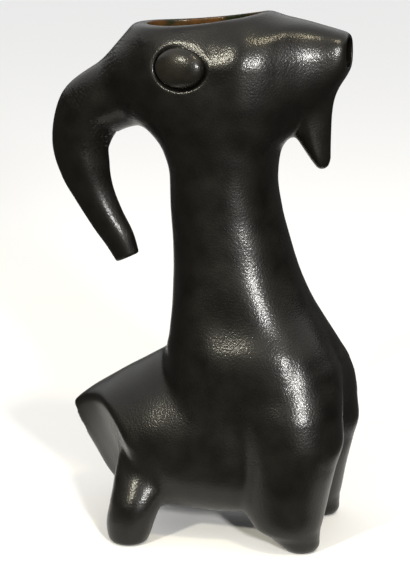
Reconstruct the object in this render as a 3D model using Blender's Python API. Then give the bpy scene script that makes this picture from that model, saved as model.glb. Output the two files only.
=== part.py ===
"""A goat-shaped stoneware pitcher, in metres, +Z up, the goat looking along +X.

The pitcher is modelled as the clay pieces that a potter forms and lutes together: a hollow barrel for the
body, a hollow neck, a hollow head with the mouth in its crown, a hollow muzzle that pours, a horn that serves
as the handle, a beard, two eyes and four legs. Each piece is trimmed to the piece that carries it, and the
thin gap between them is the line of slip that bonds them.
"""

import math

import bmesh
import bpy
import numpy as np
from mathutils import Matrix, Vector

# Clay
WALL = 0.005  # thrown walls of the body, neck and head
SLIP_GAP = 0.0003  # line of slip between two luted pieces
FORM_POWER = 2.2  # squareness of the neck's and head's sections, where 2 is an ellipse

# Body, a barrel that lies along X
BELLY_Z = 0.014  # underside of the belly above the table
BELLY_POWER = 3.0  # squareness of the belly
BACK_POWER = 1.75  # squareness of the back
FLANK_Z = 0.055  # where the barrel is widest
BACK_Z = 0.108  # the back where it meets the neck
BODY_HALF_WIDTH = 0.0455
TAIL_X = -0.080
TAIL_Z = 0.068
CHEST_X = 0.076
SCOOP_RADIUS = 0.090  # the hollow face on each side of the rump
SCOOP_LEAN = math.radians(23.5)  # lean of that face's generatrix from the vertical
RIDGE_BEHIND_NECK = 0.025  # from the neck's back to the ridge where the hollow face starts

# Neck, which flares into the chest
NECK_BACK_X = -0.018
CHEST_FRONT_X = 0.0795  # foremost point of the flare
NECK_BASE_HALF_WIDTH = 0.0405
NECK_BASE_POWER = 3.2  # squareness of its base, which makes the shoulders
NECK_EASE = 0.050  # height above the back over which that squareness fades
NECK_TOP_Z = 0.2075  # where the head is luted on
NECK_TOP_FRONT_X = 0.0415
NECK_TOP_HALF_WIDTH = 0.0305

# Head, with the mouth cut through its crown
HEAD_HALF_WIDTH = 0.0362
HEAD_BACK_X = -0.038
HEAD_FRONT_X = 0.051
EYE_LEVEL = 0.0625  # where the head is widest, above the neck's top
MOUTH_BACK_X = -0.0345
MOUTH_FRONT_X = 0.0335
MOUTH_HALF_WIDTH = 0.0255
MOUTH_BACK_RISE = 0.0855  # of the rim's back edge, above the neck's top
MOUTH_FRONT_RISE = 0.0925  # of the rim's front edge, above the neck's top
MOUTH_WALL = 0.0038  # thickness of the lip
MOUTH_DIP = 0.0025  # of the rim on its two sides

# Muzzle, the pouring spout
MUZZLE_ROOT_X = 0.0355
MUZZLE_INSET = 0.014  # length inside the head
JAW_RISE = 0.0255  # of the root's underside, above the neck's top
BROW_DROP = 0.002  # of the root's top, below the rim's front edge
MUZZLE_TIP_X = 0.082
MUZZLE_TIP_RISE = 0.0716  # middle of the pouring hole, above the neck's top
MUZZLE_TIP_HALF_HEIGHT = 0.0106
MUZZLE_TIP_HALF_WIDTH = 0.0120
MUZZLE_ROOT_HALF_WIDTH = 0.0315
MUZZLE_TIP_WALL = 0.0032
JAW_POWER = 2.5  # squareness of its underside
CHEEK_SHARE = 0.60  # the root's widest level, as a share of its height
CHEEK_LEAN = 1.40  # height over width of the ellipse that the cheeks follow above that level
BROW_FLATTENING = 0.035  # of the flat top, below the form's height, as a share of the half width
BROW_DOME = 0.20  # fall of the flat top to its edges, as a share of the half width

# Horn, the handle
HORN_ROOT_RADIUS = 0.024
HORN_TIP_RADIUS = 0.0086
HORN_FLATNESS = 0.98  # its width across over its depth
HORN_RIDGE_HEIGHT = 0.86  # of the ridge along each side, as a share of the radius
HORN_RIDGE_IN = 0.20  # from the middle line to the ridge, towards the inner edge, as a share of the radius
HORN_FACE_IN = math.radians(43)  # slope of the face between the ridge and the inner edge
HORN_FACE_OUT = math.radians(27)  # slope of the face between the ridge and the outer edge
HORN_RIDGE_START = 0.015  # along the horn, where the ridge starts to rise
HORN_RIDGE_FULL = 0.070  # and where it is full
HORN_INSET = 0.016  # length inside the head
HORN_ROOT_DROP = 0.0105  # the middle of the root, below the head's widest level
HORN_REACH_X = -0.0735  # the middle of the horn at its rearmost
HORN_REACH_DROP = 0.0485  # and there, below the head's widest level
HORN_TIP_X = -0.046
HORN_TIP_Z = 0.157

# Beard
BEARD_FRONT_X = 0.072
BEARD_TIP_Z = 0.214
BEARD_LENGTH = 0.044  # from the tip to the root inside the muzzle
BEARD_DEPTH = 0.0235
BEARD_HALF_WIDTH = 0.0095
BEARD_POWER = 1.5  # under 2, for the soft ridge down each side

# Eyes, pellets pressed into shallow sockets
EYE_X = -0.005
EYE_RISE = 0.0016  # of the eyes' middle, above the level where the head is widest
EYE_HALF_LENGTH = 0.0134
EYE_HALF_HEIGHT = 0.0103
EYE_BULGE = 0.0055  # height of the dome above the cheek
EYE_SINK = 0.0026  # depth of the socket below the cheek
EYE_GROOVE = 0.0018  # open ring between the pellet and the socket's edge

# Front legs, tall columns with the shoulders
FRONT_FOOT_X = 0.0645
FRONT_FOOT_Y = 0.030
FRONT_FOOT_RADIUS = 0.0104
SHOULDER_X = 0.058
SHOULDER_Y = 0.0255
SHOULDER_HALF_LENGTH = 0.0285
SHOULDER_HALF_WIDTH = 0.0243
SHOULDER_Z = 0.072

# Rear legs, short stubs below the flank
REAR_FOOT_X = -0.034
REAR_FOOT_Y = 0.043
REAR_FOOT_RADIUS = 0.0115
THIGH_X = -0.0295
THIGH_Y = 0.034
THIGH_RADIUS = 0.0158
THIGH_Z = 0.032

FOOT_EDGE = 0.0025  # rounding of the feet

# How finely the round forms are cut
FORM_SIDES = 32
HOLLOW_SIDES = 24
LEG_SIDES = 20
HORN_SIDES = 24
MUZZLE_SIDES = 28
BEARD_SIDES = 16
EYE_SIDES = 24
EYE_RINGS = 5
SCOOP_SIDES = 128
RIM_STEPS = 16

BLACK_GLAZE = (0.018, 0.016, 0.013)


# Forms of the pieces

def barrel_rows():
    """The body: x, underside, widest level, top and half width."""
    return [
        (TAIL_X - 0.002, TAIL_Z - 0.010, TAIL_Z - 0.004, TAIL_Z - 0.001, 0.004),
        (TAIL_X + 0.011, TAIL_Z - 0.028, TAIL_Z - 0.007, TAIL_Z + 0.009, 0.025),
        (TAIL_X + 0.022, BELLY_Z + 0.010, FLANK_Z + 0.003, TAIL_Z + 0.0165, 0.035),
        (TAIL_X + 0.040, BELLY_Z, FLANK_Z, BACK_Z - 0.0125, BODY_HALF_WIDTH - 0.004),
        (NECK_BACK_X, BELLY_Z, FLANK_Z, BACK_Z, BODY_HALF_WIDTH - 0.001),
        (0.0, BELLY_Z, FLANK_Z, BACK_Z + 0.009, BODY_HALF_WIDTH),
        (CHEST_X - 0.043, BELLY_Z, FLANK_Z + 0.002, BACK_Z + 0.011, BODY_HALF_WIDTH - 0.0035),
        (CHEST_X - 0.021, BELLY_Z + 0.006, FLANK_Z + 0.006, BACK_Z + 0.002, BODY_HALF_WIDTH - 0.0105),
        (CHEST_X - 0.009, BELLY_Z + 0.018, FLANK_Z + 0.008, BACK_Z - 0.012, BODY_HALF_WIDTH - 0.0205),
        (CHEST_X, BELLY_Z + 0.045, FLANK_Z + 0.011, BACK_Z - 0.035, BODY_HALF_WIDTH - 0.0375),
    ]


def neck_rows():
    """The neck: z, back, front and half width. The lowest rows lie inside the body."""
    return [
        (BACK_Z - 0.033, NECK_BACK_X + 0.0095, CHEST_FRONT_X - 0.0095, NECK_BASE_HALF_WIDTH - 0.0060),
        (BACK_Z - 0.020, NECK_BACK_X + 0.0025, CHEST_FRONT_X - 0.001, NECK_BASE_HALF_WIDTH - 0.0030),
        (BACK_Z - 0.008, NECK_BACK_X - 0.0015, CHEST_FRONT_X, NECK_BASE_HALF_WIDTH - 0.0010),
        (BACK_Z + 0.002, NECK_BACK_X - 0.001, CHEST_FRONT_X - 0.004, NECK_BASE_HALF_WIDTH),
        (BACK_Z + 0.012, NECK_BACK_X + 0.0005, CHEST_FRONT_X - 0.0085, NECK_BASE_HALF_WIDTH - 0.0013),
        (NECK_TOP_Z - 0.0715, NECK_BACK_X + 0.001, NECK_TOP_FRONT_X + 0.0205, NECK_TOP_HALF_WIDTH + 0.0055),
        (NECK_TOP_Z - 0.0555, NECK_BACK_X + 0.001, NECK_TOP_FRONT_X + 0.014, NECK_TOP_HALF_WIDTH + 0.0033),
        (NECK_TOP_Z - 0.0375, NECK_BACK_X + 0.0005, NECK_TOP_FRONT_X + 0.008, NECK_TOP_HALF_WIDTH + 0.0015),
        (NECK_TOP_Z - 0.0175, NECK_BACK_X - 0.0005, NECK_TOP_FRONT_X + 0.0023, NECK_TOP_HALF_WIDTH),
        (NECK_TOP_Z, NECK_BACK_X - 0.001, NECK_TOP_FRONT_X, NECK_TOP_HALF_WIDTH),
    ]


def between(start, end, share):
    return start + (end - start) * share


def head_rows():
    """The head: z, back, front and half width. The last row lies above the rim."""
    neck = (NECK_TOP_Z, NECK_BACK_X - 0.001, NECK_TOP_FRONT_X, NECK_TOP_HALF_WIDTH)
    eyes = (NECK_TOP_Z + EYE_LEVEL, HEAD_BACK_X, HEAD_FRONT_X, HEAD_HALF_WIDTH)
    draw_in = MOUTH_WALL / 4
    rim = (NECK_TOP_Z + MOUTH_FRONT_RISE, MOUTH_BACK_X + draw_in, MOUTH_FRONT_X, MOUTH_HALF_WIDTH - draw_in)
    rows = [neck]
    for shares in ((0.232, 0.184, 0.105, 0.263), (0.488, 0.605, 0.737, 0.702), (0.76, 0.895, 1.0, 1.0)):
        rows.append([between(low, high, share) for low, high, share in zip(neck, eyes, shares)])
    for shares in ((0.0, 0.0, 0.057, 0.0), (0.433, 0.0, 0.343, 0.316), (0.733, 0.444, 0.714, 0.684)):
        rows.append([between(low, high, share) for low, high, share in zip(eyes, rim, shares)])
    above = (rim[0] + 2 * MOUTH_WALL, rim[1] + 2 * draw_in, rim[2] - 2 * draw_in, rim[3] - 2 * draw_in)
    return [*rows, rim, above]


def muzzle_rows():
    """The muzzle: x, jaw, widest level, brow and half width. The first row lies inside the head."""
    jaw = NECK_TOP_Z + JAW_RISE
    brow = NECK_TOP_Z + MOUTH_FRONT_RISE - BROW_DROP
    tip = NECK_TOP_Z + MUZZLE_TIP_RISE
    rows = [(MUZZLE_ROOT_X - MUZZLE_INSET, between(jaw, brow, 0.046), between(jaw, brow, CHEEK_SHARE),
             between(brow, jaw, 0.34), MUZZLE_ROOT_HALF_WIDTH)]
    tapers = [
        (0.0, 0.0, 0.0, 0.0),
        (0.2688, 0.0845, 0.0843, 0.21),
        (0.4839, 0.2676, 0.2410, 0.42),
        (0.6989, 0.5239, 0.5060, 0.66),
        (0.8710, 0.7775, 0.7831, 0.85),
        (1.0, 1.0, 1.0, 1.0),
    ]
    for along, up, down, inward in tapers:
        low = between(jaw, tip - MUZZLE_TIP_HALF_HEIGHT, up)
        high = between(brow, tip + MUZZLE_TIP_HALF_HEIGHT, down)
        rows.append((
            between(MUZZLE_ROOT_X, MUZZLE_TIP_X, along),
            low,
            between(low, high, between(CHEEK_SHARE, 0.5, along)),
            high,
            between(MUZZLE_ROOT_HALF_WIDTH, MUZZLE_TIP_HALF_WIDTH, inward),
        ))
    return rows


def horn_rows():
    """The horn's middle line from inside the head to the tip: x, z and radius."""
    root_z = NECK_TOP_Z + EYE_LEVEL - HORN_ROOT_DROP
    reach_z = NECK_TOP_Z + EYE_LEVEL - HORN_REACH_DROP
    rows = [(HEAD_BACK_X + HORN_INSET, root_z + HORN_INSET * 0.344, HORN_ROOT_RADIUS * 1.125)]
    for back, down, thinner in ((0.0, 0.0, 0.0), (0.3803, 0.1842, 0.2597), (0.8310, 0.4868, 0.2922)):
        rows.append((
            between(HEAD_BACK_X, HORN_REACH_X, back),
            between(root_z, reach_z, down),
            between(HORN_ROOT_RADIUS, HORN_TIP_RADIUS, thinner),
        ))
    tapers = [
        (0.0, 0.0, 0.4026),
        (0.0909, 0.2, 0.5195),
        (0.2727, 0.4109, 0.6883),
        (0.5418, 0.6372, 0.7987),
        (0.8182, 0.8295, 0.8961),
        (1.0, 1.0, 1.0),
    ]
    for forward, down, thinner in tapers:
        rows.append((
            between(HORN_REACH_X, HORN_TIP_X, forward),
            between(reach_z, HORN_TIP_Z, down),
            between(HORN_ROOT_RADIUS, HORN_TIP_RADIUS, thinner),
        ))
    return rows


def beard_rows():
    """The beard: z, back, front and half width. The top rows lie inside the muzzle."""
    tapers = [
        (0.0, 0.298, 0.128, 0.2105),
        (0.0568, 0.383, 0.043, 0.4737),
        (0.1591, 0.532, 0.0, 0.6842),
        (0.3636, 0.787, 0.0, 0.8737),
        (0.5909, 0.957, 0.0, 1.0),
        (1.0, 1.0, -0.043, 1.0526),
    ]
    rows = []
    for up, back, front, wide in tapers:
        rows.append((
            BEARD_TIP_Z + BEARD_LENGTH * up,
            BEARD_FRONT_X - BEARD_DEPTH * back,
            BEARD_FRONT_X - BEARD_DEPTH * front,
            BEARD_HALF_WIDTH * wide,
        ))
    return rows


def front_leg_rows():
    """A front leg on the goat's left: z, middle x, middle y, half length and half width."""
    foot = (FRONT_FOOT_X, FRONT_FOOT_Y)
    return [
        (0.0, *foot, FRONT_FOOT_RADIUS - FOOT_EDGE, FRONT_FOOT_RADIUS - FOOT_EDGE),
        (FOOT_EDGE, FRONT_FOOT_X - 0.0005, FRONT_FOOT_Y, FRONT_FOOT_RADIUS, FRONT_FOOT_RADIUS),
        (0.008, FRONT_FOOT_X - 0.004, FRONT_FOOT_Y, FRONT_FOOT_RADIUS + 0.004, FRONT_FOOT_RADIUS + 0.0025),
        (BELLY_Z, SHOULDER_X - 0.002, FRONT_FOOT_Y - 0.0005, SHOULDER_HALF_LENGTH - 0.009, 0.0175),
        (BELLY_Z + 0.013, SHOULDER_X - 0.0035, SHOULDER_Y + 0.002, SHOULDER_HALF_LENGTH - 0.0048, 0.0210),
        (SHOULDER_Z - 0.022, SHOULDER_X - 0.0015, SHOULDER_Y + 0.001, SHOULDER_HALF_LENGTH - 0.002,
         SHOULDER_HALF_WIDTH - 0.0008),
        (SHOULDER_Z, SHOULDER_X, SHOULDER_Y, SHOULDER_HALF_LENGTH, SHOULDER_HALF_WIDTH),
        (SHOULDER_Z + 0.014, SHOULDER_X - 0.001, SHOULDER_Y - 0.001, SHOULDER_HALF_LENGTH - 0.001,
         SHOULDER_HALF_WIDTH - 0.001),
        (SHOULDER_Z + 0.025, SHOULDER_X - 0.003, SHOULDER_Y - 0.003, SHOULDER_HALF_LENGTH - 0.004,
         SHOULDER_HALF_WIDTH - 0.0021),
        (SHOULDER_Z + 0.036, SHOULDER_X - 0.008, SHOULDER_Y - 0.006, SHOULDER_HALF_LENGTH - 0.0100,
         SHOULDER_HALF_WIDTH - 0.0045),
        (SHOULDER_Z + 0.046, SHOULDER_X - 0.012, SHOULDER_Y - 0.010, SHOULDER_HALF_LENGTH - 0.0175,
         SHOULDER_HALF_WIDTH - 0.0125),
    ]


def rear_leg_rows():
    """A rear leg on the goat's left: z, middle x, middle y, half length and half width."""
    return [
        (0.0, REAR_FOOT_X, REAR_FOOT_Y, REAR_FOOT_RADIUS - FOOT_EDGE, REAR_FOOT_RADIUS - FOOT_EDGE),
        (FOOT_EDGE, REAR_FOOT_X, REAR_FOOT_Y, REAR_FOOT_RADIUS, REAR_FOOT_RADIUS),
        (0.010, REAR_FOOT_X + 0.0005, REAR_FOOT_Y - 0.001, REAR_FOOT_RADIUS + 0.002, REAR_FOOT_RADIUS + 0.001),
        (THIGH_Z - 0.010, THIGH_X - 0.0015, THIGH_Y + 0.005, THIGH_RADIUS - 0.001, THIGH_RADIUS - 0.0018),
        (THIGH_Z, THIGH_X, THIGH_Y, THIGH_RADIUS, THIGH_RADIUS - 0.001),
        (THIGH_Z + 0.012, THIGH_X, THIGH_Y - 0.006, THIGH_RADIUS - 0.001, THIGH_RADIUS - 0.002),
        (THIGH_Z + 0.024, THIGH_X, THIGH_Y - 0.012, THIGH_RADIUS - 0.006, THIGH_RADIUS - 0.006),
    ]


# Lofting

def smooth_rows(rows, per_span):
    """The given rows and even steps between them along a curve that does not overshoot."""
    table = np.array(rows, float)
    steps = np.linalg.norm(np.diff(table, axis=0), axis=1)
    slopes = np.diff(table, axis=0) / steps[:, None]
    before, after = slopes[:-1], slopes[1:]
    both = before + after
    inner = np.where(before * after > 0, 2 * before * after / np.where(both == 0, 1, both), 0.0)
    tangents = np.vstack([slopes[0], inner, slopes[-1]])
    smooth = []
    for k, width in enumerate(steps):
        for t in np.arange(per_span) / per_span:
            smooth.append(
                (1 + 2 * t) * (1 - t) ** 2 * table[k]
                + t * (1 - t) ** 2 * width * tangents[k]
                + t**2 * (3 - 2 * t) * table[k + 1]
                + t**2 * (t - 1) * width * tangents[k + 1]
            )
    return np.array([*smooth, table[-1]])


def section(sides, half_a, half_b, power=2.0):
    """Points of a superellipse about the origin, as two arrays."""
    turn = np.linspace(0.0, 2 * math.pi, sides, endpoint=False)
    across, up = np.cos(turn), np.sin(turn)
    return (
        half_a * np.sign(across) * np.abs(across) ** (2 / power),
        half_b * np.sign(up) * np.abs(up) ** (2 / power),
    )


def eased(value, start, end):
    """A share that goes smoothly from 0 at the start to 1 at the end."""
    share = np.clip((value - start) / (end - start), 0.0, 1.0)
    return share * share * (3 - 2 * share)


def trunk_power(z):
    """Squareness of the neck and the head at a height."""
    return between(NECK_BASE_POWER, FORM_POWER, eased(z, BACK_Z, BACK_Z + NECK_EASE))


def beard_power(z):
    return BEARD_POWER


def standing_rings(rows, sides, per_span, grow=0.0, power_at=trunk_power):
    """Rings of a form that stands along Z, from rows of z, back, front and half width."""
    rings = []
    for z, back, front, half_width in smooth_rows(rows, per_span):
        x, y = section(sides, (front - back) / 2 + grow, half_width + grow, power_at(z))
        rings.append(np.stack([x + (front + back) / 2, y, np.full(sides, z)], axis=1))
    return rings


def muzzle_rings(rows, per_span, grow=0.0):
    """Rings of the muzzle, with a round jaw, leaning cheeks and a flat top."""
    rings = []
    for x, low, widest, high, half_width in smooth_rows(rows, per_span):
        wide = half_width + grow
        cheek_y, cheek_z = section(MUZZLE_SIDES, wide, half_width * CHEEK_LEAN + grow)
        jaw_y, jaw_z = section(MUZZLE_SIDES, wide, widest - low + grow, JAW_POWER)
        y = np.where(cheek_z > 0, cheek_y, jaw_y)
        z = widest + np.where(cheek_z > 0, cheek_z, jaw_z)
        top = high + grow - wide * (BROW_FLATTENING + BROW_DOME * (y / wide) ** 2)
        rings.append(np.stack([np.full(MUZZLE_SIDES, x), y, np.minimum(z, top)], axis=1))
    return rings


def barrel_rings(sides, per_span, grow=0.0):
    """Rings of the body, whose back and belly have their own squareness."""
    rings = []
    for x, low, widest, high, half_width in smooth_rows(barrel_rows(), per_span):
        back_y, back_z = section(sides, half_width + grow, high - widest + grow, BACK_POWER)
        belly_y, belly_z = section(sides, half_width + grow, widest - low + grow, BELLY_POWER)
        y = np.where(back_z > 0, back_y, belly_y)
        z = np.where(back_z > 0, back_z, belly_z)
        rings.append(np.stack([np.full(sides, x), y, z + widest], axis=1))
    return rings


def leg_rings(rows, side):
    """Rings of a leg on one side of the goat, +1 for its left, from the rows of its left leg."""
    rings = []
    for z, x_mid, y_mid, half_length, half_width in smooth_rows(rows, 1):
        x, y = section(LEG_SIDES, half_length, half_width)
        rings.append(np.stack([x + x_mid, y + side * y_mid, np.full(LEG_SIDES, z)], axis=1))
    return rings


def horn_rings():
    """Rings square to the horn's middle line, round at the root and with a ridge along each side from there."""
    rows = smooth_rows(horn_rows(), 2)
    along = np.gradient(rows[:, :2], axis=0)
    along /= np.linalg.norm(along, axis=1)[:, None]
    travel = np.append(0.0, np.cumsum(np.linalg.norm(np.diff(rows[:, :2], axis=0), axis=1)))
    soft = 0.5 * (1 - eased(travel, HORN_RIDGE_START, HORN_RIDGE_FULL))
    rings = []
    for (x_mid, z_mid, radius), (dx, dz), extra in zip(rows, along, soft):
        depth, across = section(HORN_SIDES, radius, radius * HORN_FLATNESS)
        off = depth - radius * HORN_RIDGE_IN
        fall = np.maximum(off * math.tan(HORN_FACE_IN), -off * math.tan(HORN_FACE_OUT))
        face = radius * (HORN_RIDGE_HEIGHT + extra) - fall
        across = np.clip(across, -face, face)
        rings.append(np.stack([x_mid - dz * depth, across, z_mid + dx * depth], axis=1))
    return rings


def carried_on(ring, before, distance):
    """A ring moved on along its form, past the form's end."""
    along = ring.mean(axis=0) - before.mean(axis=0)
    return ring + along / np.linalg.norm(along) * distance


# Blender objects

def clear_scene():
    for obj in list(bpy.data.objects):
        bpy.data.objects.remove(obj)


def add_object(name, bm):
    bm.normal_update()
    bmesh.ops.recalc_face_normals(bm, faces=bm.faces[:])
    mesh = bpy.data.meshes.new(name)
    bm.to_mesh(mesh)
    bm.free()
    mesh.shade_smooth()
    mesh.set_sharp_from_angle(angle=math.radians(40))
    obj = bpy.data.objects.new(name, mesh)
    bpy.context.scene.collection.objects.link(obj)
    return obj


def add_loft(name, rings):
    """A closed solid through rings of equally many points, with flat ends."""
    bm = bmesh.new()
    loops = [[bm.verts.new(point) for point in ring] for ring in rings]
    sides = len(loops[0])
    for near, far in zip(loops, loops[1:]):
        for i in range(sides):
            j = (i + 1) % sides
            bm.faces.new((near[i], near[j], far[j], far[i]))
    bm.faces.new(loops[0])
    bm.faces.new(loops[-1])
    return add_object(name, bm)


def as_cutter(obj):
    obj.hide_render = True
    obj.display_type = "WIRE"
    return obj


def cut(obj, *cutters):
    for cutter in cutters:
        modifier = obj.modifiers.new("less_" + cutter.name, "BOOLEAN")
        modifier.operation = "DIFFERENCE"
        modifier.solver = "EXACT"
        modifier.object = cutter
    return obj


def glaze(name, roughness):
    """A very dark satin glaze."""
    material = bpy.data.materials.new(name)
    material.use_nodes = True
    shader = material.node_tree.nodes["Principled BSDF"]
    shader.inputs["Base Color"].default_value = (*BLACK_GLAZE, 1.0)
    shader.inputs["Roughness"].default_value = roughness
    shader.inputs["Metallic"].default_value = 0.0
    return material


# Cutters, which are the room that a form takes and the hollows inside

def add_scoop(name, side, radius):
    """The leaning cylinder that hollows one side of the rump, from the ridge on the flank to the tail."""
    ridge = Vector((NECK_BACK_X - RIDGE_BEHIND_NECK, side * (BODY_HALF_WIDTH - 0.009), TAIL_Z - 0.002))
    tail = Vector((TAIL_X, side * 0.002, TAIL_Z))
    lean = Vector((math.sin(SCOOP_LEAN), 0.0, -math.cos(SCOOP_LEAN)))
    chord = tail - ridge
    outward = chord.cross(lean)
    if outward.x > 0:
        outward.negate()
    outward.normalize()
    middle = (ridge + tail) / 2 + outward * math.sqrt(SCOOP_RADIUS**2 - chord.length_squared / 4)
    bm = bmesh.new()
    bmesh.ops.create_cone(
        bm, cap_ends=True, segments=SCOOP_SIDES, radius1=radius, radius2=radius, depth=4 * SCOOP_RADIUS
    )
    turn = Vector((0, 0, 1)).rotation_difference(lean).to_matrix().to_4x4()
    bm.transform(Matrix.Translation(middle) @ turn)
    return as_cutter(add_object(name, bm))


def add_scoops(name, radius):
    return [add_scoop(f"{name}_right", -1, radius), add_scoop(f"{name}_left", 1, radius)]


def add_body_room():
    """The body's outside and the line of slip round it, filled."""
    rings = barrel_rings(FORM_SIDES, 2, SLIP_GAP)
    rings[-1] = carried_on(rings[-1], rings[-2], SLIP_GAP)
    return as_cutter(cut(add_loft("body_room", rings), *add_scoops("scoop_room", SCOOP_RADIUS - SLIP_GAP)))


def add_body_hollow():
    """The room inside the body, a wall away from its outside all round."""
    first, last = TAIL_X + 2 * WALL, CHEST_X - WALL
    rings = barrel_rings(HOLLOW_SIDES, 2, -WALL)
    rings = [ring for ring in rings if first < ring[0, 0] < last]
    return as_cutter(cut(add_loft("body_hollow", rings), *add_scoops("scoop_wall", SCOOP_RADIUS + WALL)))


def add_neck_room():
    """The neck's outside and the line of slip round it, filled."""
    return as_cutter(add_loft("neck_room", standing_rings(neck_rows(), FORM_SIDES, 2, SLIP_GAP)))


def add_neck_bore():
    """The neck's bore, carried on through the joint with the head."""
    rings = standing_rings(neck_rows(), HOLLOW_SIDES, 1, -WALL)
    return as_cutter(add_loft("neck_bore", [*rings, carried_on(rings[-1], rings[-2], WALL)]))


def add_head_room():
    """The head's outside and the line of slip round it, filled, with the crown carried on past the rim."""
    return as_cutter(add_loft("head_room", standing_rings(head_rows(), FORM_SIDES, 2, SLIP_GAP)))


def add_head_hollow():
    """The room inside the head, whose wall thins to the lip."""
    lip_z = NECK_TOP_Z + MOUTH_BACK_RISE - 0.010
    rows = []
    for z, back, front, half_width in head_rows():
        wall = WALL if z < lip_z else MOUTH_WALL
        rows.append((z, back + wall, front - wall, half_width - wall))
    rings = standing_rings(rows, HOLLOW_SIDES, 1)
    below = carried_on(rings[0], rings[1], WALL)
    above = carried_on(rings[-1], rings[-2], WALL)
    return as_cutter(add_loft("head_hollow", [below, *rings, above]))


def add_above_rim():
    """The room above the rim, which leans forward and dips on its two sides."""
    length = MOUTH_FRONT_X - MOUTH_BACK_X
    slope = math.atan2(MOUTH_FRONT_RISE - MOUTH_BACK_RISE, length)
    middle = Vector((MOUTH_BACK_X + length / 2, 0.0, NECK_TOP_Z + (MOUTH_BACK_RISE + MOUTH_FRONT_RISE) / 2))
    across = np.linspace(-length, length, 2 * RIM_STEPS + 1)
    edge = [(y, -MOUTH_DIP * (y / MOUTH_HALF_WIDTH) ** 2) for y in across]
    outline = [*edge, (length, length), (-length, length)]
    rings = [np.array([(x, y, z) for y, z in outline]) for x in (-length, length)]
    cutter = add_loft("above_rim", rings)
    cutter.data.transform(Matrix.Translation(middle) @ Matrix.Rotation(-slope, 4, "Y"))
    return as_cutter(cutter)


def add_muzzle_room():
    """The muzzle's outside and the line of slip round it, filled."""
    return as_cutter(add_loft("muzzle_room", muzzle_rings(muzzle_rows(), 2, SLIP_GAP)))


def add_muzzle_bore():
    """The pouring way, whose wall thins to the hole at the tip."""
    rows = []
    for x, jaw, widest, brow, half_width in muzzle_rows():
        wall = np.interp(x, (HEAD_FRONT_X, MUZZLE_TIP_X), (WALL, MUZZLE_TIP_WALL))
        rows.append((x, jaw + wall, widest, brow - wall, half_width - wall))
    rings = muzzle_rings(rows, 1)
    return as_cutter(add_loft("muzzle_bore", [*rings, carried_on(rings[-1], rings[-2], WALL)]))


def eye_rings(side, profile, grow=0.0):
    """Rings of an eye on one side of the head, from pairs of height over the cheek and share of its width."""
    back, front, half_width = smooth_rows(head_rows(), 1)[4][1:]
    half_length = (front - back) / 2
    from_mid = EYE_X - (front + back) / 2
    cheek = half_width * (1 - (abs(from_mid) / half_length) ** FORM_POWER) ** (1 / FORM_POWER)
    slope_x = math.copysign((abs(from_mid) / half_length) ** (FORM_POWER - 1) / half_length, from_mid)
    slope_y = (cheek / half_width) ** (FORM_POWER - 1) / half_width
    out = np.array([slope_x, side * slope_y, 0.0]) / math.hypot(slope_x, slope_y)
    along = np.array([-out[1], out[0], 0.0])
    middle = np.array([EYE_X, side * cheek, NECK_TOP_Z + EYE_LEVEL + EYE_RISE])
    rings = []
    for height, share in profile:
        length, up = section(EYE_SIDES, EYE_HALF_LENGTH * share + grow, EYE_HALF_HEIGHT * share + grow)
        rings.append(middle + out * height + np.outer(length, along) + np.outer(up, (0, 0, 1)))
    return rings


def add_eye(name, side):
    """A domed pellet with a flat back."""
    profile = [(-EYE_SINK, 0.96), (-EYE_SINK / 2, 1.0)]
    for step in np.linspace(0.0, 0.92, EYE_RINGS):
        profile.append((EYE_BULGE * step, math.sqrt(1 - step**2)))
    return add_loft(name, eye_rings(side, profile))


def add_socket(name, side):
    """The shallow pocket for an eye, wider by the groove round it."""
    profile = [(-EYE_SINK - SLIP_GAP, 1.0), (2 * EYE_BULGE, 1.0)]
    return as_cutter(add_loft(name, eye_rings(side, profile, EYE_GROOVE)))


# Assembly

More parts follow.
